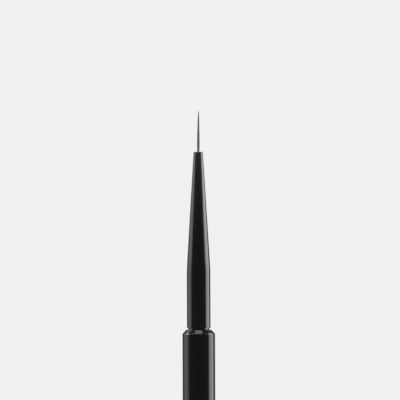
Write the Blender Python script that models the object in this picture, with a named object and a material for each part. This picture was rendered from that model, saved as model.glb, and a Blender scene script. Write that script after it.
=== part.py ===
"""Fine detail brush: a hair tuft in a long tapered ferrule, screwed into a slim tube handle.

The brush stands on its rear end with the tuft up. The origin is the middle of the rear end's flat
face and +Z runs along the brush's axis to the hair tip. All sizes are in metres.
"""

from math import asin, cos, pi, sin, tan

import bmesh
import bpy

MM = 0.001

# Driving dimensions.
HAIR_OUT = 9.0 * MM  # hair that shows past the ferrule's mouth
HAIR_RADIUS = 0.26 * MM  # of the bundle where it leaves the mouth
MOUTH_RADIUS = 1.0 * MM
CONE_LENGTH = 25.2 * MM
NECK_LENGTH = 12.5 * MM
NECK_RADIUS = 2.53 * MM
NECK_BLEND = 60.0 * MM  # radius of the soft change from neck to cone
NECK_EDGE = 0.12 * MM  # rounding of the neck's lower edge
MOUTH_EDGE = 0.08 * MM
WASHER_RADIUS = 2.28 * MM
WASHER_HEIGHT = 0.45 * MM
HANDLE_LENGTH = 108.0 * MM
HANDLE_RADIUS = 3.5 * MM
HANDLE_WALL = 0.9 * MM
CHAMFER_DEPTH = 0.765 * MM  # how far the collar's chamfer comes in
CHAMFER_LENGTH = 0.83 * MM  # how far it runs along the handle
THREAD_RADIUS = 1.5 * MM  # M3 outer radius
THREAD_PITCH = 0.5 * MM
THREAD_DEPTH = 0.27 * MM

# Clearances between pieces.
PRESS_GAP = 0.02 * MM  # round a pressed or glued piece
FACE_GAP = 0.02 * MM  # between two faces that meet
THREAD_GAP = 0.06 * MM  # round the thread in its bush
PIVOT_GAP = 0.03 * MM  # between the hair that bends and the stiff hair below it

# Heights along the axis.
Z_SHOULDER = HANDLE_LENGTH
Z_NECK = Z_SHOULDER + WASHER_HEIGHT
Z_CONE = Z_NECK + NECK_LENGTH
Z_MOUTH = Z_CONE + CONE_LENGTH
Z_TIP = Z_MOUTH + HAIR_OUT

# Inside the ferrule, measured from its neck end or from its mouth.
STUD_SEAT_DEPTH = 8.3 * MM
STUD_END_GAP = 0.3 * MM
CAVITY_RADIUS = 1.0 * MM
HAIR_TUBE_RADIUS = 0.6 * MM
HAIR_TUBE_BORE = 0.35 * MM
HAIR_TUBE_LENGTH = 8.5 * MM
HAIR_TUBE_LIP = 0.05 * MM  # how far its end sits below the mouth
STIFF_HAIR_OUT = 0.84 * MM  # the glue-soaked hair that shows past the mouth and doesn't bend
BINDING_LENGTH = 1.4 * MM
BINDING_RADIUS = 0.55 * MM
ROOT_RESIN_LENGTH = 2.6 * MM

# The hair bends about the middle of its round base, just past the stiff hair.
Z_PIVOT = Z_MOUTH + STIFF_HAIR_OUT + PIVOT_GAP + HAIR_RADIUS

# Inside the handle.
STUD_BELOW_SHOULDER = 5.4 * MM
STUD_CHAMFER = 0.2 * MM
THREAD_RELIEF = 0.2 * MM  # plain length between the thread and the ferrule
THREAD_FADE = 0.5 * MM  # over which the thread rises from its root at either end
BUSH_LENGTH = 9.0 * MM
BUSH_COUNTERSINK = 0.25 * MM
PLUG_FLANGE = 1.6 * MM
PLUG_SPIGOT = 8.0 * MM
PLUG_LEAD_IN = 0.4 * MM

OUTER_STEPS = 48  # sides of the outer turned pieces
INNER_STEPS = 24  # sides of the small pieces inside


def clear_scene():
    for old in list(bpy.data.objects):
        bpy.data.objects.remove(old)


def material(name, colour, roughness, metallic=0.0):
    made = bpy.data.materials.new(name)
    made.use_nodes = True
    shader = made.node_tree.nodes["Principled BSDF"]
    shader.inputs["Base Color"].default_value = (*colour, 1.0)
    shader.inputs["Roughness"].default_value = roughness
    shader.inputs["Metallic"].default_value = metallic
    return made


def node(name, mesh_builder, look, parent):
    """Puts a finished bmesh in the scene as one smooth-shaded object."""
    bmesh.ops.recalc_face_normals(mesh_builder, faces=mesh_builder.faces)
    mesh = bpy.data.meshes.new(name)
    mesh_builder.to_mesh(mesh)
    mesh_builder.free()
    mesh.shade_smooth()
    mesh.set_sharp_from_angle(angle=pi / 6)
    mesh.materials.append(look)
    made = bpy.data.objects.new(name, mesh)
    made.parent = parent
    bpy.context.scene.collection.objects.link(made)
    return made


def turned(name, outline, look, parent, hollow=False, steps=OUTER_STEPS):
    """Spins an outline of (radius, height) points about Z. A hollow outline closes on itself."""
    builder = bmesh.new()
    points = [builder.verts.new((radius, 0.0, height)) for radius, height in outline]
    pairs = list(zip(points, points[1:]))
    if hollow:
        pairs.append((points[-1], points[0]))
    edges = [builder.edges.new(pair) for pair in pairs]
    bmesh.ops.spin(
        builder,
        geom=points + edges,
        cent=(0, 0, 0),
        axis=(0, 0, 1),
        angle=2 * pi,
        steps=steps,
        use_merge=True,
    )
    bmesh.ops.remove_doubles(builder, verts=builder.verts, dist=1e-7)
    return node(name, builder, look, parent)


def arc(centre, radius, start, end, steps=4):
    """Points of (radius, height) on a circular arc between two angles, ends included."""
    middle_r, middle_z = centre
    turns = [start + (end - start) * i / steps for i in range(steps + 1)]
    return [(middle_r + radius * cos(a), middle_z + radius * sin(a)) for a in turns]


def tube(inner, outer, low, high):
    """The outline of a plain ring or tube."""
    return [(outer, low), (outer, high), (inner, high), (inner, low)]


# --- handle -------------------------------------------------------------------------------------


def handle_tube(look, parent):
    """Drawn tube with a chamfered front end, where the collar shows below the neck."""
    inner = HANDLE_RADIUS - HANDLE_WALL
    outline = [
        (HANDLE_RADIUS, PLUG_FLANGE),
        (HANDLE_RADIUS, Z_SHOULDER - CHAMFER_LENGTH),
        (HANDLE_RADIUS - CHAMFER_DEPTH, Z_SHOULDER),
        (inner, Z_SHOULDER),
        (inner, PLUG_FLANGE),
    ]
    return turned("handle_tube", outline, look, parent, hollow=True)


def rear_plug(look, parent):
    """Pressed into the tube's rear end. Its flat end face is what the brush stands on."""
    spigot = HANDLE_RADIUS - HANDLE_WALL - PRESS_GAP
    flange_top = PLUG_FLANGE - FACE_GAP
    outline = [
        (0.0, 0.0),
        (HANDLE_RADIUS - CHAMFER_DEPTH, 0.0),
        (HANDLE_RADIUS, CHAMFER_LENGTH),
        (HANDLE_RADIUS, flange_top),
        (spigot, flange_top),
        (spigot, PLUG_FLANGE + PLUG_SPIGOT - PLUG_LEAD_IN),
        (spigot - PLUG_LEAD_IN, PLUG_FLANGE + PLUG_SPIGOT),
        (0.0, PLUG_FLANGE + PLUG_SPIGOT),
    ]
    return turned("rear_plug", outline, look, parent)


def threaded_bush(look, parent):
    """Pressed into the tube's front end, flush with it, and tapped for the ferrule's stud."""
    outer = HANDLE_RADIUS - HANDLE_WALL - PRESS_GAP
    bore = THREAD_RADIUS + THREAD_GAP
    low = Z_SHOULDER - BUSH_LENGTH
    outline = [
        (outer, low),
        (outer, Z_SHOULDER),
        (bore + BUSH_COUNTERSINK, Z_SHOULDER),
        (bore, Z_SHOULDER - BUSH_COUNTERSINK),
        (bore, low),
    ]
    return turned("threaded_bush", outline, look, parent, hollow=True)


# --- joint between handle and ferrule -----------------------------------------------------------


def friction_washer(look, parent):
    """Fills the shadow gap between the ferrule's neck and the collar."""
    outline = tube(
        THREAD_RADIUS + THREAD_GAP,
        WASHER_RADIUS,
        Z_SHOULDER + FACE_GAP,
        Z_NECK - FACE_GAP,
    )
    return turned("friction_washer", outline, look, parent, hollow=True)


def thread_wave(phase):
    """Height of a truncated V thread, 0 at the root and 1 at the crest, over one pitch."""
    flat = 0.15
    slope = 1.0 - abs(2.0 * (phase % 1.0) - 1.0)
    return min(1.0, max(0.0, (slope - flat) / (1.0 - 2.0 * flat)))


def threaded_stud(look, parent):
    """A right-hand thread below the ferrule's neck, and a plain shank glued into the neck."""
    steps, levels_per_pitch = 20, 8
    low = Z_SHOULDER - STUD_BELOW_SHOULDER
    thread_top = Z_NECK - THREAD_RELIEF
    shank_top = Z_NECK + STUD_SEAT_DEPTH - STUD_END_GAP
    shank = THREAD_RADIUS - PRESS_GAP
    root = THREAD_RADIUS - THREAD_DEPTH
    end = root - STUD_CHAMFER

    def radius_at(angle, height):
        wave = thread_wave(height / THREAD_PITCH - angle / (2 * pi))
        near_end = min(height - low, thread_top - height)
        return root + THREAD_DEPTH * wave * min(1.0, max(0.0, near_end / THREAD_FADE))

    count = round((thread_top - low) / THREAD_PITCH * levels_per_pitch)
    heights = [low + (thread_top - low) * i / count for i in range(count + 1)]
    angles = [2 * pi * i / steps for i in range(steps)]
    levels = [(low - STUD_CHAMFER, [end] * steps)]
    levels += [(height, [radius_at(a, height) for a in angles]) for height in heights]
    levels += [(thread_top + THREAD_RELIEF / 2, [shank] * steps), (shank_top, [shank] * steps)]

    builder = bmesh.new()
    rings = [
        [builder.verts.new((r * cos(a), r * sin(a), height)) for r, a in zip(radii, angles)]
        for height, radii in levels
    ]
    for below, above in zip(rings, rings[1:]):
        for i in range(steps):
            j = (i + 1) % steps
            builder.faces.new((below[i], below[j], above[j], above[i]))
    builder.faces.new(rings[0][::-1])
    builder.faces.new(rings[-1])
    return node("threaded_stud", builder, look, parent)


# --- ferrule and hair ---------------------------------------------------------------------------


def ferrule(look, parent):
    """The long tapered nose: a straight neck, a cone and a small flat mouth, bored from both ends."""
    half_angle = asin((NECK_RADIUS - MOUTH_RADIUS) / CONE_LENGTH)
    blend_centre = (NECK_RADIUS - NECK_BLEND, Z_CONE - NECK_BLEND * tan(half_angle / 2))
    neck_corner = (NECK_RADIUS - NECK_EDGE, Z_NECK + NECK_EDGE)
    mouth_corner = (MOUTH_RADIUS - MOUTH_EDGE, Z_MOUTH - MOUTH_EDGE)
    mouth_seat = HAIR_TUBE_RADIUS + PRESS_GAP
    seat_end = Z_MOUTH - HAIR_TUBE_LIP - HAIR_TUBE_LENGTH - FACE_GAP
    stud_bore = THREAD_RADIUS
    outline = [
        *arc(neck_corner, NECK_EDGE, -pi / 2, 0.0, 3),
        *arc(blend_centre, NECK_BLEND, 0.0, half_angle, 5),
        *arc(mouth_corner, MOUTH_EDGE, half_angle, pi / 2, 3),
        (mouth_seat, Z_MOUTH),
        (mouth_seat, seat_end),
        (CAVITY_RADIUS, seat_end - (CAVITY_RADIUS - mouth_seat)),
        (CAVITY_RADIUS, Z_NECK + STUD_SEAT_DEPTH + (stud_bore - CAVITY_RADIUS)),
        (stud_bore, Z_NECK + STUD_SEAT_DEPTH),
        (stud_bore, Z_NECK),
    ]
    return turned("ferrule", outline, look, parent, hollow=True)


def hair_tube(look, parent):
    """The small tube that the hair is set in, pressed into the ferrule's mouth."""
    high = Z_MOUTH - HAIR_TUBE_LIP
    outline = tube(HAIR_TUBE_BORE, HAIR_TUBE_RADIUS, high - HAIR_TUBE_LENGTH, high)
    return turned("hair_tube", outline, look, parent, hollow=True, steps=INNER_STEPS)


def hair_root(look, parent):
    """The glued length of the hair bundle, from its binding to just past the mouth."""
    low = Z_MOUTH - HAIR_TUBE_LIP - HAIR_TUBE_LENGTH - BINDING_LENGTH
    outline = [
        (0.0, low),
        (HAIR_RADIUS, low),
        (HAIR_RADIUS, Z_MOUTH + STIFF_HAIR_OUT),
        (0.0, Z_MOUTH + STIFF_HAIR_OUT),
    ]
    return turned("hair_root", outline, look, parent, steps=INNER_STEPS)


def root_binding(look, parent):
    """Thread wound round the hair behind its tube, so that the bundle can't pull through."""
    high = Z_MOUTH - HAIR_TUBE_LIP - HAIR_TUBE_LENGTH - FACE_GAP
    low = high - BINDING_LENGTH + 2 * FACE_GAP
    turns = 6
    cord = (high - low) / turns / 2
    inner = HAIR_RADIUS + PRESS_GAP
    outline = []
    for turn in range(turns):
        middle = (BINDING_RADIUS - cord, low + cord * (2 * turn + 1))
        outline += arc(middle, cord, -pi / 2, pi / 2, 4)[: None if turn == turns - 1 else -1]
    outline += [(inner, high), (inner, low)]
    return turned("root_binding", outline, look, parent, hollow=True, steps=INNER_STEPS)


def root_resin(look, parent):
    """Cured resin behind the bound hair, filling the ferrule's bore."""
    high = Z_MOUTH - HAIR_TUBE_LIP - HAIR_TUBE_LENGTH - BINDING_LENGTH - FACE_GAP
    low = high - ROOT_RESIN_LENGTH
    outer = CAVITY_RADIUS - PRESS_GAP
    hollow = 0.35 * MM  # depth of the dip that the resin cures with
    outline = [(0.0, high), (outer, high), (outer, low)]
    outline += [(outer - hollow, low + hollow), (0.0, low + hollow)]
    return turned("root_resin", outline, look, parent, steps=INNER_STEPS)


def mouth_resin(look, parent):
    """The ring of resin round the hair at the mouth, with a fillet that climbs the hair."""
    inner = HAIR_RADIUS + PRESS_GAP / 2
    outer = HAIR_TUBE_BORE - PRESS_GAP / 2
    depth, fillet = 1.2 * MM, 0.2 * MM
    tube_end = Z_MOUTH - HAIR_TUBE_LIP
    over = tube_end + FACE_GAP
    steepest = -pi + 0.25  # where the fillet stops, before it runs out to nothing
    outline = [(inner, tube_end - depth), (outer, tube_end - depth), (outer, over)]
    outline += arc((inner + fillet, over + fillet), fillet, -pi / 2, steepest, 4)
    outline += [(inner, over + fillet)]
    return turned("mouth_resin", outline, look, parent, hollow=True, steps=INNER_STEPS)


def tuft_radius(share):
    """Radius of the tuft at a share of its length: nearly straight, then drawn to a fine point."""
    return HAIR_RADIUS * (1.0 - 0.1 * share) * (1.0 - share**2.6) ** 0.85


def hair_tuft(look, parent):
    """The hair that bends. Its round base turns in place on the stiff glued hair below it."""
    rows = 12
    outline = arc((0.0, Z_PIVOT), HAIR_RADIUS, -pi / 2, 0.0, 4)
    for row in range(1, rows):
        share = row / rows
        outline.append((tuft_radius(share), Z_PIVOT + (Z_TIP - Z_PIVOT) * share))
    outline.append((0.0, Z_TIP))
    return turned("hair_tuft", outline, look, parent, steps=INNER_STEPS)


# --- assembly -----------------------------------------------------------------------------------


def body(name, height):
    """An empty on the axis, which the pieces that move together hang from."""
    made = bpy.data.objects.new(name, None)
    made.location = (0.0, 0.0, height)
    bpy.context.scene.collection.objects.link(made)
    return made


def keep_in_place(piece, parent):
    piece.location = (0.0, 0.0, -parent.location.z)


def main():
    clear_scene()
    lacquer = material("gloss_black_lacquer", (0.010, 0.010, 0.011), 0.08)
    anodised = material("black_anodised", (0.02, 0.02, 0.022), 0.35, 1.0)
    acetal = material("black_acetal", (0.012, 0.012, 0.012), 0.2)
    brass = material("turned_brass", (0.72, 0.52, 0.22), 0.28, 1.0)
    steel = material("drawn_steel", (0.62, 0.62, 0.61), 0.3, 1.0)
    hair = material("brown_hair", (0.14, 0.085, 0.058), 0.45)
    thread = material("binding_thread", (0.55, 0.50, 0.42), 0.9)
    resin = material("cured_resin", (0.30, 0.17, 0.06), 0.15)

    handle = body("handle_axis", 0.0)
    washer = body("washer_axis", Z_SHOULDER)
    head = body("head_axis", Z_NECK)
    tuft = body("tuft_pivot", Z_PIVOT)
    pieces = [
        (handle_tube, lacquer, handle),
        (rear_plug, lacquer, handle),
        (threaded_bush, anodised, handle),
        (friction_washer, acetal, washer),
        (threaded_stud, brass, head),
        (ferrule, lacquer, head),
        (hair_tube, steel, head),
        (hair_root, hair, head),
        (root_binding, thread, head),
        (root_resin, resin, head),
        (mouth_resin, resin, head),
        (hair_tuft, hair, tuft),
    ]
    for build, look, parent in pieces:
        keep_in_place(build(look, parent), parent)


main()
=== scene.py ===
import random
from math import atan2, cos, pi, radians, sin, sqrt, tan

import bmesh
import bpy
from mathutils import Matrix, Vector

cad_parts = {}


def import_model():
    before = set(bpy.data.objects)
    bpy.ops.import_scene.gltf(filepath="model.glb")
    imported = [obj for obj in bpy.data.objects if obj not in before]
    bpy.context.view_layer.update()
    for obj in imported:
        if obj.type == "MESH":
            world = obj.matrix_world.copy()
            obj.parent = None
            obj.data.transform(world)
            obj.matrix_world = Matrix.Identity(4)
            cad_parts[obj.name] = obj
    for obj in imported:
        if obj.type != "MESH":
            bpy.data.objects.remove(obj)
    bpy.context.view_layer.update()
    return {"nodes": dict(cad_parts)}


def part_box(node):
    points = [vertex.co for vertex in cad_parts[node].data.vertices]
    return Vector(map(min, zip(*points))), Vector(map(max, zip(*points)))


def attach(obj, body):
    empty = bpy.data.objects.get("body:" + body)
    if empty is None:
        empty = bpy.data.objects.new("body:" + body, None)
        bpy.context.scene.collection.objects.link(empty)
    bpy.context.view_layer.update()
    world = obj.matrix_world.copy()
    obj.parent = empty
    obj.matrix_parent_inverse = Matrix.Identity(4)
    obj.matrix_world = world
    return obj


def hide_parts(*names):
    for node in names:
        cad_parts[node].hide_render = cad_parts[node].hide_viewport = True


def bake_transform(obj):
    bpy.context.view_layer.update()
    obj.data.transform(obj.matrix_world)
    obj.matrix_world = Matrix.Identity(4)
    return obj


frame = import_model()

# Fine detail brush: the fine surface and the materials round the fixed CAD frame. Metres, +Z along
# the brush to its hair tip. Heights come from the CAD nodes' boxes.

MM = 0.001

# Heights and radii that the CAD nodes' boxes give.
HANDLE_LOW, HANDLE_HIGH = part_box("handle_tube")
PLUG_LOW, PLUG_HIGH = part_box("rear_plug")
BUSH_LOW, BUSH_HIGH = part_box("threaded_bush")
WASHER_LOW, WASHER_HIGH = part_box("friction_washer")
STUD_LOW, STUD_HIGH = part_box("threaded_stud")
FERRULE_LOW, FERRULE_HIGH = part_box("ferrule")
TUBE_LOW, TUBE_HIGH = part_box("hair_tube")
ROOT_LOW, ROOT_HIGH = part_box("hair_root")
BINDING_LOW, BINDING_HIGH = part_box("root_binding")
MOUTH = FERRULE_HIGH.z
SHOULDER = HANDLE_HIGH.z
HANDLE_RADIUS = HANDLE_HIGH.x
NECK_RADIUS = FERRULE_HIGH.x
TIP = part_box("hair_tuft")[1].z

# Sizes inside the boxes, the same as the CAD's.
PRESS_GAP = 0.02 * MM  # round a pressed or glued piece
FACE_GAP = 0.02 * MM  # between two faces that meet
THREAD_GAP = 0.06 * MM  # round the thread in the washer
HANDLE_WALL = 0.9 * MM
CHAMFER_DEPTH = 0.765 * MM  # how far the collar's chamfer comes in
CHAMFER_LENGTH = 0.83 * MM  # how far it runs along the handle
PLUG_FLANGE = HANDLE_LOW.z - FACE_GAP
PLUG_LEAD_IN = 0.4 * MM
MOUTH_RADIUS = 1.0 * MM
CONE_LENGTH = 25.2 * MM
NECK_BLEND = 60 * MM  # radius of the soft change from neck to cone
CAVITY_RADIUS = 1.0 * MM
STUD_SEAT_DEPTH = 8.3 * MM
STUD_CHAMFER = 0.2 * MM
HAIR_TUBE_BORE = 0.35 * MM  # as a radius
THREAD_RADIUS = 1.5 * MM
THREAD_PITCH = 0.5 * MM
THREAD_DEPTH = 0.27 * MM
THREAD_FADE = 0.5 * MM  # over which the stud's thread rises from its root at either end
THREAD_RELIEF = 0.2 * MM  # plain length between the thread and the ferrule
RESIN_DEPTH = 1.2 * MM  # of the mouth's resin inside its tube
RESIN_FILLET = 0.2 * MM  # that it leaves round the hair

# Fine detail that only the looks have.
FINE_EDGE = 0.06 * MM  # rounding of a machined edge
INNER_EDGE = 0.02 * MM  # rounding of an edge against another piece
CORNER_ROUNDING = 0.32 * MM  # of the polished corner below the collar's chamfer
SHARP_ANGLE = radians(35)  # faces that meet more steeply than this keep a sharp edge
MERGE_DISTANCE = 1e-8  # within which the points of a turned piece become one
SEGMENTS = 192  # round the large turned pieces
SMALL_SEGMENTS = 64
LEVELS_PER_PITCH = 14  # rings of vertices in one turn of a thread
BUSH_CLEARANCE = 0.05 * MM  # between the bush's thread and the stud's
BUSH_COUNTERSINK = 0.3 * MM
PAINTED_SHEEN_LENGTH = 20 * MM  # of the ferrule below its mouth, over which its lacquer is painted paler: a painted sheen for light on the cone's top
HAIR_COUNT = 150
HAIR_THICKNESS = 0.045 * MM
HAIR_BRIGHTNESS = 1.06  # of the bundle, beside the colours in its material
LONGEST_HAIRS = 3  # in the middle of the tuft, which reach its tip
LONGEST_STEP = 0.12 * MM  # by which each of them is shorter than the one before
TUFT_RADIUS = 0.295 * MM  # of the bundle of filaments, which lie less tightly than the solid
HAIR_LEAN = 0.03 * MM  # how far the hair steps to +X as it leaves its tube
LEAN_LENGTH = 0.08  # share of the tuft's length over which it does so
TIP_SWEEP = 0.065 * MM  # how much further its drawn tip leans
STRAIGHT_PLACE = "straight_place"  # the mesh attribute that holds where the unbent hair lies

# The room.
BACKDROP = (0.875, 0.875, 0.88)
ROOM_TONES = ((0.45, 0.14), (0.85, 0.215))  # (place, grey), from the camera's side, 0, to the back, 1
FLOOR_RADIUS = 0.6
FLOOR_FADE = (0.03, 0.4)  # between these radii the floor grows clear
FLOOR_SEGMENTS = 128
LIGHT_DISTANCE = 0.9
LIGHT_AIM = Vector((0, 0, 0.125))  # the point that every light faces
PICTURE_WIDTH = 85.72 * MM  # of the plane through the brush that the camera sees
PICTURE_CENTRE = 0.354 * MM  # how far it lies to +X of the brush's axis
PICTURE_DROP = 10.31 * MM  # how far it lies below the mouth
CAMERA_ROLL = radians(-0.18)


# --- meshes -------------------------------------------------------------------------------------


def piece(name, builder, body, material, replaces):
    """Puts a finished bmesh in the scene as one piece that stands for CAD nodes.

    It rides on a body, or on none when no body is given.
    """
    bmesh.ops.recalc_face_normals(builder, faces=builder.faces)
    mesh = bpy.data.meshes.new(name)
    builder.to_mesh(mesh)
    builder.free()
    mesh.shade_smooth()
    mesh.materials.append(material)
    made = bpy.data.objects.new(name, mesh)
    bpy.context.scene.collection.objects.link(made)
    if body:
        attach(made, body)
    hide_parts(*replaces)
    return made


def filleted(corners, steps=4):
    """A closed outline of (radius, height, fillet) corners, each rounded to its fillet."""
    outline = []
    for i, (radius, height, fillet) in enumerate(corners):
        here = Vector((radius, height))
        if not fillet:
            outline.append(here)
            continue
        back = (Vector(corners[i - 1][:2]) - here).normalized()
        ahead = (Vector(corners[(i + 1) % len(corners)][:2]) - here).normalized()
        half = back.angle(ahead) / 2
        centre = here + (back + ahead).normalized() * fillet / sin(half)
        arm = here + back * fillet / tan(half) - centre
        turn = (-back).angle_signed(ahead)
        for step in range(steps + 1):
            outline.append(centre + Matrix.Rotation(-turn * step / steps, 2) @ arm)
    return [tuple(point) for point in outline]


def turned(name, outline, body, material, replaces, segments=SEGMENTS):
    """Spins a closed outline of (radius, height) points about Z. Points on the axis merge."""
    builder = bmesh.new()
    points = [builder.verts.new((radius, 0.0, height)) for radius, height in outline]
    on_axis = [point for point in points if point.co.x < MERGE_DISTANCE]
    edges = []
    for start, end in zip(points, points[1:] + points[:1]):
        if not (start in on_axis and end in on_axis):
            edges.append(builder.edges.new((start, end)))
    bmesh.ops.spin(
        builder,
        geom=points + edges,
        cent=(0, 0, 0),
        axis=(0, 0, 1),
        angle=2 * pi,
        steps=segments,
        use_merge=True,
    )
    bmesh.ops.remove_doubles(builder, verts=builder.verts, dist=MERGE_DISTANCE)
    made = piece(name, builder, body, material, replaces)
    flats = made.modifiers.new("flat_faces_stay_flat", "WEIGHTED_NORMAL")
    flats.mode = "FACE_AREA"
    flats.weight = 50
    flats.keep_sharp = True
    return made


def skinned(builder, rings, closed=False):
    """Joins rings of vertices into a skin, which closes on itself or is capped at both ends."""
    count = len(rings[0])
    pairs = list(zip(rings, rings[1:]))
    if closed:
        pairs.append((rings[-1], rings[0]))
    for below, above in pairs:
        for i in range(count):
            j = (i + 1) % count
            builder.faces.new((below[i], below[j], above[j], above[i]))
    if not closed:
        builder.faces.new(rings[0][::-1])
        builder.faces.new(rings[-1])


def thread_wave(phase):
    """Height of a truncated V thread, 0 at the root and 1 at the crest, over one pitch."""
    flat = 0.15
    slope = 1.0 - abs(2.0 * (phase % 1.0) - 1.0)
    return min(1.0, max(0.0, (slope - flat) / (1.0 - 2.0 * flat)))


def thread_rings(builder, root, low, high, fade=0.0):
    """Rings of vertices on a right-hand thread whose root has this radius, from low to high.

    The thread rises from its root over the length fade at either end.
    """
    levels = round((high - low) / THREAD_PITCH * LEVELS_PER_PITCH)
    rings = []
    for level in range(levels + 1):
        height = low + (high - low) * level / levels
        share = 1.0
        if fade:
            share = min(share, (height - low) / fade, (high - height) / fade)
        ring = []
        for i in range(SMALL_SEGMENTS):
            angle = 2 * pi * i / SMALL_SEGMENTS
            wave = thread_wave(height / THREAD_PITCH - angle / (2 * pi))
            radius = root + THREAD_DEPTH * wave * share
            ring.append(builder.verts.new((radius * cos(angle), radius * sin(angle), height)))
        rings.append(ring)
    return rings


def plain_ring(builder, radius, height):
    """One ring of vertices, to go with a thread's."""
    angles = [2 * pi * i / SMALL_SEGMENTS for i in range(SMALL_SEGMENTS)]
    return [builder.verts.new((radius * cos(a), radius * sin(a), height)) for a in angles]


# --- materials ----------------------------------------------------------------------------------


class Graph:
    """A material with a Principled shader, and short ways to add nodes to it."""

    def __init__(self, name, colour, roughness, metallic=0.0, **sockets):
        self.material = bpy.data.materials.new(name)
        self.material.use_nodes = True
        self.nodes = self.material.node_tree.nodes
        self.links = self.material.node_tree.links
        self.shader = self.nodes["Principled BSDF"]
        self.shader.inputs["Base Color"].default_value = (*colour, 1.0)
        self.shader.inputs["Roughness"].default_value = roughness
        self.shader.inputs["Metallic"].default_value = metallic
        for socket, value in sockets.items():
            self.shader.inputs[socket.replace("_", " ")].default_value = value
        self.place = self.nodes.new("ShaderNodeTexCoord").outputs["Object"]

    def straight_place(self):
        """Where each point was before its piece was bent, which the mesh keeps as an attribute."""
        made = self.nodes.new("ShaderNodeAttribute")
        made.attribute_name = STRAIGHT_PLACE
        return made.outputs["Vector"]

    def stretched(self, x, y, z):
        """Object coordinates scaled by a number of features per metre along each axis."""
        mapping = self.nodes.new("ShaderNodeMapping")
        mapping.inputs["Scale"].default_value = (x, y, z)
        self.links.new(self.place, mapping.inputs["Vector"])
        return mapping.outputs["Vector"]

    def noise(self, scale, detail=3.0):
        """Noise of this many features per metre along each axis, around a half."""
        made = self.nodes.new("ShaderNodeTexNoise")
        made.inputs["Scale"].default_value = 1.0
        made.inputs["Detail"].default_value = detail
        self.links.new(self.stretched(*scale), made.inputs["Vector"])
        return made.outputs["Fac"]

    def wave(self, scale, distortion, **settings):
        """A wave texture with this many features per metre along each axis."""
        made = self.nodes.new("ShaderNodeTexWave")
        for setting, value in settings.items():
            setattr(made, setting, value)
        made.inputs["Scale"].default_value = 1.0
        made.inputs["Distortion"].default_value = distortion
        self.links.new(self.stretched(*scale), made.inputs["Vector"])
        return made.outputs["Fac"]

    def spread(self, value, low, high, to_low=0.0, to_high=1.0):
        """Maps a value's range from low..high to another range, and clamps it."""
        made = self.nodes.new("ShaderNodeMapRange")
        made.inputs["From Min"].default_value = low
        made.inputs["From Max"].default_value = high
        made.inputs["To Min"].default_value = to_low
        made.inputs["To Max"].default_value = to_high
        self.links.new(value, made.inputs["Value"])
        return made.outputs["Result"]

    def combined(self, first, second, operation="ADD"):
        """Adds two values, or joins them by another of the Math node's operations."""
        made = self.nodes.new("ShaderNodeMath")
        made.operation = operation
        for socket, value in zip(made.inputs, (first, second)):
            if isinstance(value, float):
                socket.default_value = value
            else:
                self.links.new(value, socket)
        return made.outputs[0]

    def height(self):
        """Height above the surface that the brush stands on."""
        split = self.nodes.new("ShaderNodeSeparateXYZ")
        self.links.new(self.place, split.inputs[0])
        return split.outputs["Z"]

    def radius(self):
        """Distance from the brush's axis."""
        flat = self.nodes.new("ShaderNodeVectorMath")
        flat.operation = "MULTIPLY"
        flat.inputs[1].default_value = (1.0, 1.0, 0.0)
        self.links.new(self.place, flat.inputs[0])
        length = self.nodes.new("ShaderNodeVectorMath")
        length.operation = "LENGTH"
        self.links.new(flat.outputs[0], length.inputs[0])
        return length.outputs["Value"]

    def colours(self, value, stops):
        """A ramp of (place, colour) stops, read at a value."""
        made = self.nodes.new("ShaderNodeValToRGB")
        ramp = made.color_ramp.elements
        while len(ramp) < len(stops):
            ramp.new(0.5)
        for element, (at, colour) in zip(ramp, stops):
            element.position = at
            element.color = (*colour, 1.0)
        self.links.new(value, made.inputs["Fac"])
        return made.outputs["Color"]

    def mixed(self, share, first, second):
        """Two colours mixed, from the first at share 0 to the second at share 1."""
        made = self.nodes.new("ShaderNodeMix")
        made.data_type = "RGBA"
        self.links.new(share, made.inputs["Factor"])
        for socket, value in zip((made.inputs[6], made.inputs[7]), (first, second)):
            if isinstance(value, tuple):
                socket.default_value = (*value, 1.0)
            else:
                self.links.new(value, socket)
        return made.outputs[2]

    def set(self, socket, value):
        """Links a value or colour to one of the shader's sockets."""
        self.links.new(value, self.shader.inputs[socket])

    def bumped(self, *layers):
        """Stacks (value, depth in metres) layers into the shader's normal."""
        normal = None
        for value, depth in layers:
            made = self.nodes.new("ShaderNodeBump")
            made.inputs["Strength"].default_value = 1.0
            made.inputs["Distance"].default_value = depth
            self.links.new(value, made.inputs["Height"])
            if normal:
                self.links.new(normal, made.inputs["Normal"])
            normal = made.outputs["Normal"]
        self.set("Normal", normal)


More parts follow.
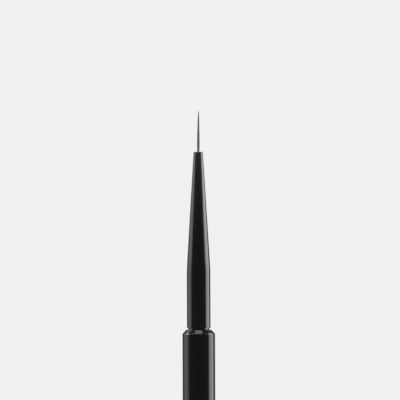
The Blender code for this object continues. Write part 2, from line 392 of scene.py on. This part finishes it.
def black_lacquer(name, ior):
    """Gloss black lacquer: a near mirror with faint orange peel, hairline scratches and dust.

    Towards the ferrule's mouth its colour is painted paler, a painted sheen for light on the cone.
    """
    look = Graph(name, (0.004, 0.004, 0.0042), 0.12, IOR=ior)
    peel = look.noise((1100, 1100, 900), 2.0)
    haze = look.noise((260, 260, 60), 4.0)
    scratch = look.spread(look.noise((9000, 9000, 220), 1.0), 0.68, 0.74)
    rub = look.spread(look.noise((500, 500, 7000), 1.0), 0.70, 0.76)
    dust = look.spread(look.noise((12000, 12000, 12000), 0.0), 0.84, 0.88)
    marks = look.combined(scratch, rub, "MAXIMUM")
    tint = look.colours(haze, [(0.3, (0.0032, 0.0032, 0.0034)), (0.7, (0.0052, 0.0052, 0.0054))])
    # painted sheen: the colour grows paler below the mouth, standing in for light that the cone's top
    # catches
    near_mouth = look.spread(look.height(), MOUTH - PAINTED_SHEEN_LENGTH, MOUTH)
    painted_sheen_share = look.colours(near_mouth, [
        (0.00, (0.0, 0.0, 0.0)),
        (0.45, (0.22, 0.22, 0.22)),
        (0.70, (0.50, 0.50, 0.50)),
        (1.00, (1.0, 1.0, 1.0)),
    ])
    tint_and_painted_sheen = look.mixed(painted_sheen_share, tint, (0.024, 0.0232, 0.0212))
    look.set("Base Color", look.mixed(dust, tint_and_painted_sheen, (0.05, 0.049, 0.047)))
    hazed = look.spread(haze, 0.3, 0.7, 0.045, 0.085)
    marked = look.combined(hazed, look.combined(marks, 0.10, "MULTIPLY"))
    look.set("Roughness", look.combined(marked, look.combined(dust, 0.3, "MULTIPLY")))
    look.bumped((peel, 0.0006 * MM), (marks, -0.0004 * MM), (dust, 0.004 * MM))
    return look.material


def black_anodised():
    """The bush: black anodised, with the fine rings a lathe tool leaves on its faces."""
    look = Graph("black_anodised", (0.012, 0.012, 0.013), 0.3, IOR=1.5)
    rings = look.wave((6000, 6000, 6000), 0.4, wave_type="RINGS", rings_direction="Z")
    grain = look.noise((9000, 9000, 9000), 3.0)
    look.set("Base Color", look.colours(grain, [(0.3, (0.009, 0.009, 0.010)), (0.7, (0.02, 0.02, 0.021))]))
    look.set("Roughness", look.spread(grain, 0.3, 0.7, 0.2, 0.36))
    look.bumped((rings, 0.0012 * MM), (grain, 0.0006 * MM))
    return look.material


def black_acetal():
    """The washer: moulded acetal, a little waxy."""
    look = Graph("black_acetal", (0.007, 0.007, 0.007), 0.15, IOR=1.48)
    grain = look.noise((5000, 5000, 5000), 4.0)
    look.set("Base Color", look.colours(grain, [(0.3, (0.005, 0.005, 0.005)), (0.7, (0.011, 0.011, 0.011))]))
    look.set("Roughness", look.spread(grain, 0.3, 0.7, 0.08, 0.18))
    look.bumped((grain, 0.001 * MM))
    return look.material


def metal(name, colour, dull, roughness, grain_scale):
    """A turned or drawn bare metal, with tool marks, a mottled tone and a duller film in places."""
    look = Graph(name, colour, roughness, 1.0)
    film = look.noise((700, 700, 700), 5.0)
    marks = look.noise(grain_scale, 2.0)
    look.set("Base Color", look.mixed(look.spread(film, 0.4, 0.75), colour, dull))
    filmed = look.spread(film, 0.3, 0.7, roughness, roughness + 0.15)
    look.set("Roughness", look.combined(filmed, look.spread(marks, 0.3, 0.7, 0.0, 0.1)))
    look.bumped((marks, 0.0015 * MM))
    return look.material


def brown_hair():
    """Synthetic hair: brown, each filament its own shade, greyer where glue soaks it and at its tip."""
    look = Graph("brown_hair", (0.26, 0.2, 0.16), 0.5, IOR=1.4, Specular_IOR_Level=0.3)
    look.place = look.straight_place()
    length = look.spread(look.height(), MOUTH, TIP)
    along = look.colours(length, [
        (0.00, (0.20, 0.17, 0.145)),
        (0.10, (0.20, 0.17, 0.142)),
        (0.20, (0.208, 0.167, 0.133)),
        (0.35, (0.22, 0.167, 0.13)),
        (0.60, (0.245, 0.19, 0.165)),
        (0.75, (0.21, 0.17, 0.165)),
        (0.88, (0.14, 0.13, 0.13)),
        (1.00, (0.12, 0.118, 0.118)),
    ])
    island = look.nodes.new("ShaderNodeNewGeometry").outputs["Random Per Island"]
    own_shade = look.spread(island, 0.0, 1.0, -0.15, 0.15)
    streak = look.noise((30000, 30000, 500), 3.0)
    shade = look.combined(own_shade, look.spread(streak, 0.3, 0.7, -0.06, 0.06))
    vary = look.nodes.new("ShaderNodeHueSaturation")
    look.links.new(look.combined(shade, HAIR_BRIGHTNESS), vary.inputs["Value"])
    look.links.new(along, vary.inputs["Color"])
    look.set("Base Color", vary.outputs["Color"])
    look.set("Roughness", look.spread(streak, 0.3, 0.7, 0.4, 0.6))
    look.bumped((streak, 0.0008 * MM))
    return look.material


def cured_resin(name, fibres):
    """Cured resin: an amber glue with a few fine bubbles. Fibres is how far the hair shows through."""
    look = Graph(name, (0.25, 0.21, 0.17), 0.12, IOR=1.52, Transmission_Weight=0.1)
    cloud = look.noise((2600, 2600, 2600), 4.0)
    bubbles = look.spread(look.noise((16000, 16000, 16000), 0.0), 0.76, 0.80)
    hairs = look.noise((24000, 24000, 500), 2.0)
    shade = look.combined(cloud, look.spread(hairs, 0.35, 0.65, -fibres, fibres))
    look.set("Base Color", look.colours(shade, [(0.2, (0.13, 0.11, 0.09)), (0.8, (0.34, 0.295, 0.25))]))
    look.set("Roughness", look.spread(cloud, 0.3, 0.7, 0.10, 0.25))
    look.bumped((cloud, 0.002 * MM), (hairs, fibres * 0.02 * MM), (bubbles, -0.002 * MM))
    return look.material


def binding_thread():
    """Twisted polyester thread."""
    look = Graph("binding_thread", (0.5, 0.45, 0.37), 0.85)
    twist = look.wave((16000, 16000, 24000), 1.5, bands_direction="DIAGONAL")
    look.set("Base Color", look.colours(twist, [(0.2, (0.33, 0.29, 0.23)), (0.8, (0.6, 0.55, 0.46))]))
    look.set("Roughness", look.spread(twist, 0.0, 1.0, 0.75, 0.95))
    look.bumped((twist, 0.006 * MM))
    return look.material


FERRULE_LACQUER = black_lacquer("ferrule_lacquer", 1.5)
HANDLE_LACQUER = black_lacquer("handle_lacquer", 1.44)
ANODISED = black_anodised()
ACETAL = black_acetal()
BRASS = metal("turned_brass", (0.70, 0.50, 0.22), (0.42, 0.28, 0.12), 0.22, (1500, 1500, 9000))
STEEL = metal("drawn_steel", (0.62, 0.62, 0.61), (0.36, 0.35, 0.33), 0.22, (12000, 12000, 500))
HAIR = brown_hair()
RESIN = cured_resin("cured_resin", 0.0)
HAIR_RESIN = cured_resin("hair_resin", 0.25)
THREAD = binding_thread()


# --- the handle ---------------------------------------------------------------------------------


def handle_shell():
    """The handle's tube, with the collar's chamfer at its front."""
    inner = HANDLE_RADIUS - HANDLE_WALL
    low = HANDLE_LOW.z
    outline = filleted([
        (HANDLE_RADIUS, low, FINE_EDGE),
        (HANDLE_RADIUS, SHOULDER - CHAMFER_LENGTH, CORNER_ROUNDING),
        (HANDLE_RADIUS - CHAMFER_DEPTH, SHOULDER, 0.05 * MM),
        (inner, SHOULDER, INNER_EDGE),
        (inner, low, INNER_EDGE),
    ])
    turned("handle_shell", outline, "handle", HANDLE_LACQUER, ["handle_tube"])


def rear_plug():
    """The handle's rear end: a chamfered flange on a spigot that is pressed into the tube."""
    spigot = HANDLE_RADIUS - HANDLE_WALL - PRESS_GAP
    low, high = PLUG_LOW.z, PLUG_HIGH.z
    rounding = 0.1 * MM
    outline = filleted([
        (0.0, low, 0.0),
        (HANDLE_RADIUS - CHAMFER_DEPTH, low, 0.08 * MM),
        (HANDLE_RADIUS, low + CHAMFER_LENGTH, CORNER_ROUNDING),
        (HANDLE_RADIUS, PLUG_FLANGE, FINE_EDGE),
        (spigot, PLUG_FLANGE, 0.0),
        (spigot, high - PLUG_LEAD_IN, rounding),
        (spigot - PLUG_LEAD_IN, high, rounding),
        (0.0, high, 0.0),
    ])
    turned("rear_plug_turned", outline, "handle", HANDLE_LACQUER, ["rear_plug"])


def bush():
    """The bush with its internal thread, which meets the stud's with a running clearance."""
    builder = bmesh.new()
    root = THREAD_RADIUS - THREAD_DEPTH + BUSH_CLEARANCE
    outer = BUSH_HIGH.x
    low, high = BUSH_LOW.z, BUSH_HIGH.z
    edge = 0.03 * MM
    rings = thread_rings(builder, root, low, high - BUSH_COUNTERSINK)
    rings += [
        plain_ring(builder, THREAD_RADIUS + BUSH_COUNTERSINK, high),
        plain_ring(builder, outer - edge, high),
        plain_ring(builder, outer, high - edge),
        plain_ring(builder, outer, low),
    ]
    skinned(builder, rings, closed=True)
    made = piece("bush_turned", builder, "handle", ANODISED, ["threaded_bush"])
    made.data.set_sharp_from_angle(angle=SHARP_ANGLE)


# --- the joint and the ferrule ------------------------------------------------------------------


def washer():
    """The thin ring between the collar and the ferrule's neck."""
    inner, outer = THREAD_RADIUS + THREAD_GAP, WASHER_HIGH.x
    low, high = WASHER_LOW.z, WASHER_HIGH.z
    inner_edge, outer_edge = 0.03 * MM, 0.04 * MM
    outline = filleted([
        (outer, low, outer_edge),
        (outer, high, outer_edge),
        (inner, high, inner_edge),
        (inner, low, inner_edge),
    ])
    turned("washer_turned", outline, "washer", ACETAL, ["friction_washer"])


def stud():
    """A right-hand thread with a plain shank above it, glued in the ferrule."""
    builder = bmesh.new()
    low, high = STUD_LOW.z, STUD_HIGH.z
    root = THREAD_RADIUS - THREAD_DEPTH
    shank = THREAD_RADIUS - PRESS_GAP
    thread_top = FERRULE_LOW.z - THREAD_RELIEF
    step = 0.1 * MM  # from the thread's root to the shank, and of the shank's chamfer
    flat_end = root - 0.26 * MM
    rings = [
        plain_ring(builder, flat_end, low),
        plain_ring(builder, root - STUD_CHAMFER, low + 0.04 * MM),
    ]
    rings += thread_rings(builder, root, low + STUD_CHAMFER, thread_top, THREAD_FADE)
    rings += [
        plain_ring(builder, shank, thread_top + step),
        plain_ring(builder, shank, high - step),
        plain_ring(builder, shank - step, high),
    ]
    skinned(builder, rings)
    made = piece("stud_threaded", builder, "head", BRASS, ["threaded_stud"])
    made.data.set_sharp_from_angle(angle=SHARP_ANGLE)


def ferrule():
    """The tapered nose. Neck and cone run into each other through a very large radius."""
    low, base = FERRULE_LOW.z, MOUTH - CONE_LENGTH
    tube_seat = TUBE_HIGH.x + PRESS_GAP
    tube_seat_end = TUBE_LOW.z - PRESS_GAP
    stud_seat_end = low + STUD_SEAT_DEPTH
    rounding = 0.1 * MM
    outline = filleted([
        (NECK_RADIUS, low, 0.08 * MM),
        (NECK_RADIUS, base, NECK_BLEND),
        (MOUTH_RADIUS, MOUTH, rounding),
        (tube_seat, MOUTH, INNER_EDGE),
        (tube_seat, tube_seat_end, 0.0),
        (CAVITY_RADIUS, tube_seat_end - (CAVITY_RADIUS - tube_seat), rounding),
        (CAVITY_RADIUS, stud_seat_end + THREAD_RADIUS - CAVITY_RADIUS, rounding),
        (THREAD_RADIUS, stud_seat_end, rounding),
        (THREAD_RADIUS, low, 0.05 * MM),
    ], steps=6)
    turned("ferrule_shell", outline, "head", FERRULE_LACQUER, ["ferrule"])


def hair_tube():
    """The small tube that holds the hair. The edge that shows in the mouth is the most rounded."""
    inner, outer = HAIR_TUBE_BORE, TUBE_HIGH.x
    low, high = TUBE_LOW.z, TUBE_HIGH.z
    outline = filleted([
        (outer, low, 0.04 * MM),
        (outer, high, 0.07 * MM),
        (inner, high, 0.04 * MM),
        (inner, low, 0.03 * MM),
    ])
    turned(
        "hair_tube_drawn", outline, "head", STEEL, ["hair_tube"], SMALL_SEGMENTS
    )


def mouth_resin():
    """Resin in the tube's mouth: a fillet round the hair, and a film that has crept up it."""
    inner, outer = TUFT_RADIUS, HAIR_TUBE_BORE - 0.005 * MM
    base, brim = TUBE_HIGH.z, 0.01 * MM
    film, film_top = 0.014 * MM, ROOT_HIGH.z
    outline = [(inner, base - RESIN_DEPTH), (outer, base - RESIN_DEPTH), (outer, base + brim)]
    steps = 8
    for step in range(steps + 1):
        angle = pi / 2 * step / steps
        outline.append((
            inner + film + RESIN_FILLET * (1 - sin(angle)),
            base + brim + RESIN_FILLET * (1 - cos(angle)),
        ))
    lip = 0.5 * film
    outline += [
        (inner + film, film_top - 0.16 * MM),
        (inner + film + lip, film_top - 0.07 * MM),
        (inner + film, film_top - 0.01 * MM),
        (inner + lip, film_top),
        (inner, film_top),
    ]
    made = turned(
        "mouth_resin_fillet", outline, "head", HAIR_RESIN, ["mouth_resin"], SMALL_SEGMENTS
    )
    for point in made.data.vertices:
        around, height = atan2(point.co.y, point.co.x), point.co.z
        up = max(0.0, (height - base - RESIN_FILLET) / (film_top - base - RESIN_FILLET))
        unevenness = sin(2 * around + 0.6) + 0.6 * sin(5 * around) - 1.0
        point.co.z += up * 0.05 * MM * unevenness
        point.co.x += hair_shift(height)


def binding():
    """Thread wound round the hair behind its tube, as one real helix."""
    builder = bmesh.new()
    turns, sides, per_turn = 6, 10, 28
    cord = (BINDING_HIGH.z - BINDING_LOW.z) / (turns + 1) / 2
    middle = BINDING_HIGH.x - cord
    rings = []
    for step in range(turns * per_turn + 1):
        angle = 2 * pi * step / per_turn
        height = BINDING_LOW.z + cord + 2 * cord * step / per_turn
        ring = []
        for side in range(sides):
            around = 2 * pi * side / sides
            radius = middle + cord * cos(around)
            ring.append(builder.verts.new((
                radius * cos(angle), radius * sin(angle), height + cord * sin(around)
            )))
        rings.append(ring)
    skinned(builder, rings)
    piece("binding_wound", builder, "head", THREAD, ["root_binding"])


# --- hair ---------------------------------------------------------------------------------------


def tuft_share(out):
    """The tuft's radius as a share of its root's: a slow taper, closed over the last tenth."""
    taper = 1.0 - 0.55 * out**1.7
    closing = (1.0 - out**20) ** 0.5
    return taper * closing


def hair_shift(height):
    """How far the middle of the hair lies towards +X: a lean at the mouth, then a gentle sweep."""
    out = max(0.0, (height - MOUTH) / (TIP - MOUTH))
    leant = 1.0 - (1.0 - min(out / LEAN_LENGTH, 1.0)) ** 2
    return HAIR_LEAN * leant + TIP_SWEEP * out**1.6


def hair_heights(tip):
    """Heights of a filament's rings: few inside the tube, more past the mouth and at the tip."""
    steps = 26
    inside = [ROOT_LOW.z, MOUTH - 2.0 * MM]
    return inside + [MOUTH + (tip - MOUTH) * (i / steps) ** 0.85 for i in range(steps + 1)]


def filament(builder, angle, offset, tip, bow, phase):
    """One tapered hair, which keeps its place in the bundle as the bundle draws to a point."""
    sides = 6
    rings = []
    for height in hair_heights(tip):
        out = max(0.0, (height - MOUTH) / (TIP - MOUTH))
        own = max(0.0, (height - MOUTH) / (tip - MOUTH))
        last_quarter = max(0.0, (own - 0.75) / 0.25)
        thickness = HAIR_THICKNESS / 2 * (1.0 - 0.9 * last_quarter**2.5)
        reach = offset * tuft_share(out)
        wave = bow * sin(phase + 7.0 * out) * out * (1.0 - out)
        x = reach * cos(angle) + wave * cos(phase) + hair_shift(height)
        y = reach * sin(angle) + wave * sin(phase)
        turns = [2 * pi * side / sides for side in range(sides)]
        rings.append([
            builder.verts.new((x + thickness * cos(t), y + thickness * sin(t), height))
            for t in turns
        ])
    skinned(builder, rings)


def hair_reach(place):
    """How far along the tuft, as a share of its length, the hair at this share of its area ends."""
    shortest, variety = 0.44, 0.53
    return (1.0 - place**2.6) ** 0.5 * variety + shortest


def hair():
    """Every filament of the tuft as its own closed body, from the glued root to its own tip."""
    builder = bmesh.new()
    draw = random.Random(7)
    golden = pi * (3 - sqrt(5))
    for i in range(HAIR_COUNT):
        place = (i + 0.5) / HAIR_COUNT
        offset = (TUFT_RADIUS - HAIR_THICKNESS / 2) * sqrt(place)
        reach = min(0.985, hair_reach(place) * draw.uniform(0.98, 1.02))
        tip = MOUTH + (TIP - MOUTH) * reach
        if i < LONGEST_HAIRS:
            tip = TIP - LONGEST_STEP * i
        filament(builder, golden * i, offset, tip, draw.uniform(0.0, 0.02) * MM, draw.uniform(0, 2 * pi))
    made = piece("hair_filaments", builder, None, HAIR, ["hair_tuft", "hair_root"])
    places = made.data.attributes.new(STRAIGHT_PLACE, "FLOAT_VECTOR", "POINT")
    for point, place in zip(made.data.vertices, places.data):
        place.vector = point.co
    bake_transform(made)


def carried_over():
    """The resin plug behind the hair is sealed inside, and keeps its CAD shape."""
    node = frame["nodes"]["root_resin"]
    node.data.materials.clear()
    node.data.materials.append(RESIN)


# --- studio -------------------------------------------------------------------------------------


def camera():
    """Level with the ferrule, from far away through a long lens, so that it draws no perspective."""
    data = bpy.data.cameras.new("studio_camera")
    data.lens = 500
    data.sensor_width = 36
    data.clip_start, data.clip_end = 0.01, 20
    made = bpy.data.objects.new("studio_camera", data)
    distance = PICTURE_WIDTH * data.lens / data.sensor_width
    made.location = (PICTURE_CENTRE, -distance, MOUTH - PICTURE_DROP)
    level = Matrix.Rotation(radians(90), 3, "X")
    made.rotation_euler = (level @ Matrix.Rotation(CAMERA_ROLL, 3, "Z")).to_euler()
    bpy.context.scene.collection.objects.link(made)
    bpy.context.scene.camera = made


def eased(tree, value, low, high, to_low, to_high):
    """Maps a value's range from low..high to another range with soft ends, and clamps it."""
    made = tree.nodes.new("ShaderNodeMapRange")
    made.interpolation_type = "SMOOTHSTEP"
    for socket, number in zip(list(made.inputs)[1:5], (low, high, to_low, to_high)):
        socket.default_value = number
    tree.links.new(value, made.inputs["Value"])
    return made.outputs["Result"]


def times(tree, first, second):
    """The product of two values."""
    made = tree.nodes.new("ShaderNodeMath")
    made.operation = "MULTIPLY"
    tree.links.new(first, made.inputs[0])
    tree.links.new(second, made.inputs[1])
    return made.outputs[0]


def shaded(data, fades, rise):
    """Dims a light towards its two sides, over these shares of its width, and towards its foot."""
    data.use_nodes = True
    tree = data.node_tree
    split = tree.nodes.new("ShaderNodeSeparateXYZ")
    place = tree.nodes.new("ShaderNodeNewGeometry").outputs["Parametric"]
    tree.links.new(place, split.inputs[0])
    across, up = split.outputs["X"], split.outputs["Y"]
    strength = times(
        tree,
        eased(tree, across, 0.0, fades[0], 0.0, 1.0),
        eased(tree, across, 1.0 - fades[1], 1.0, 1.0, 0.0),
    )
    low, high, foot = rise
    strength = times(tree, strength, eased(tree, up, low, high, foot, 1.0))
    tree.links.new(strength, tree.nodes["Emission"].inputs["Strength"])


def softbox(name, azimuth, elevation, size, radiance, fades, rise=(0.0, 0.1, 0.0)):
    """A flat area light that faces the brush. Azimuth 0 is the camera's side and 90 is its right.

    Fades are the shares of its width over which it dims, at its lower and its higher azimuth. Rise
    says between which shares of its height it brightens, and how bright its foot is beside its top.
    """
    data = bpy.data.lights.new(name, "AREA")
    data.shape = "RECTANGLE"
    data.size, data.size_y = size
    data.energy = radiance * pi * data.size * data.size_y
    shaded(data, fades, rise)
    made = bpy.data.objects.new(name, data)
    turn, tilt = radians(azimuth), radians(elevation)
    outward = Vector((sin(turn) * cos(tilt), -cos(turn) * cos(tilt), sin(tilt)))
    made.location = LIGHT_AIM + outward * LIGHT_DISTANCE
    made.rotation_mode = "QUATERNION"
    made.rotation_quaternion = outward.to_track_quat("Z", "Y")
    made.visible_camera = False
    bpy.context.scene.collection.objects.link(made)


def world():
    """A pale backdrop for the camera, and a dim room that the gloss reflects, lighter at its back."""
    made = bpy.data.worlds.new("studio")
    made.use_nodes = True
    nodes, links = made.node_tree.nodes, made.node_tree.links
    output = nodes["World Output"]
    room = nodes["Background"]
    backdrop = nodes.new("ShaderNodeBackground")
    backdrop.inputs["Color"].default_value = (*BACKDROP, 1.0)
    seen = nodes.new("ShaderNodeLightPath")
    mix = nodes.new("ShaderNodeMixShader")
    place = nodes.new("ShaderNodeTexCoord")
    split = nodes.new("ShaderNodeSeparateXYZ")
    links.new(place.outputs["Generated"], split.inputs[0])
    tone = nodes.new("ShaderNodeValToRGB")
    lift = nodes.new("ShaderNodeMapRange")
    lift.inputs["From Min"].default_value = -1.0
    links.new(split.outputs["Y"], lift.inputs["Value"])
    links.new(lift.outputs["Result"], tone.inputs["Fac"])
    for stop, (at, grey) in zip(tone.color_ramp.elements, ROOM_TONES):
        stop.position = at
        stop.color = (grey, grey, grey, 1)
    links.new(tone.outputs["Color"], room.inputs["Color"])
    links.new(seen.outputs["Is Camera Ray"], mix.inputs["Fac"])
    links.new(room.outputs[0], mix.inputs[1])
    links.new(backdrop.outputs[0], mix.inputs[2])
    links.new(mix.outputs[0], output.inputs["Surface"])
    bpy.context.scene.world = made


def floor():
    """A pale matt disc that grows clear outwards, so that it runs into the backdrop with no edge."""
    builder = bmesh.new()
    bmesh.ops.create_circle(
        builder, cap_ends=True, segments=FLOOR_SEGMENTS, radius=FLOOR_RADIUS
    )
    mesh = bpy.data.meshes.new("floor")
    builder.to_mesh(mesh)
    builder.free()
    look = Graph("pale_floor", (0.5, 0.5, 0.5), 0.9, Specular_IOR_Level=0.0)
    grain = look.noise((90, 90, 90), 4.0)
    greys = look.colours(grain, [(0.3, (0.495, 0.495, 0.49)), (0.7, (0.505, 0.505, 0.50))])
    look.set("Base Color", greys)
    look.set("Alpha", look.spread(look.radius(), *FLOOR_FADE, 1.0, 0.0))
    mesh.materials.append(look.material)
    made = bpy.data.objects.new("floor", mesh)
    bpy.context.scene.collection.objects.link(made)


def studio():
    """The camera, the lights, the room and the floor."""
    bpy.context.scene.view_settings.view_transform = "Standard"
    camera()
    softbox("left_softbox", -97, 12, (0.94, 1.1), 1.7, (0.06, 0.28), (0.28, 0.50, 0.76))
    softbox("left_glow", -103, 16, (1.75, 0.44), 0.75, (0.22, 0.36), (0.0, 0.25, 0.0))
    softbox("left_upper_softbox", -97, 26, (0.50, 0.62), 14.0, (0.2, 0.2), (0.1, 0.3, 0.0))
    softbox("left_rim_softbox", -134, 46, (0.34, 0.38), 1.65, (0.25, 0.25))
    softbox("right_softbox", 99.5, 12, (1.06, 1.1), 5.9, (0.27, 0.25), (0.28, 0.50, 0.68))
    softbox("right_glow", 92, 16, (1.40, 0.44), 1.2, (0.2, 0.5), (0.0, 0.25, 0.0))
    softbox("right_upper_softbox", 112, 33, (0.43, 0.43), 4.6, (0.3, 0.3))
    softbox("right_rim_softbox", 139, 41, (0.09, 0.12), 1.3, (0.2, 0.2))
    softbox("top_softbox", -6, 75, (0.68, 0.55), 2.8, (0.22, 0.22), (0.0, 0.22, 0.0))
    softbox("left_edge_softbox", -67, 58, (0.50, 0.16), 7.0, (0.15, 0.15))
    softbox("right_edge_softbox", 67, 56, (0.42, 0.16), 2.6, (0.2, 0.2))
    world()
    floor()


studio()
handle_shell()
rear_plug()
bush()
washer()
stud()
ferrule()
hair_tube()
mouth_resin()
binding()
hair()
carried_over()
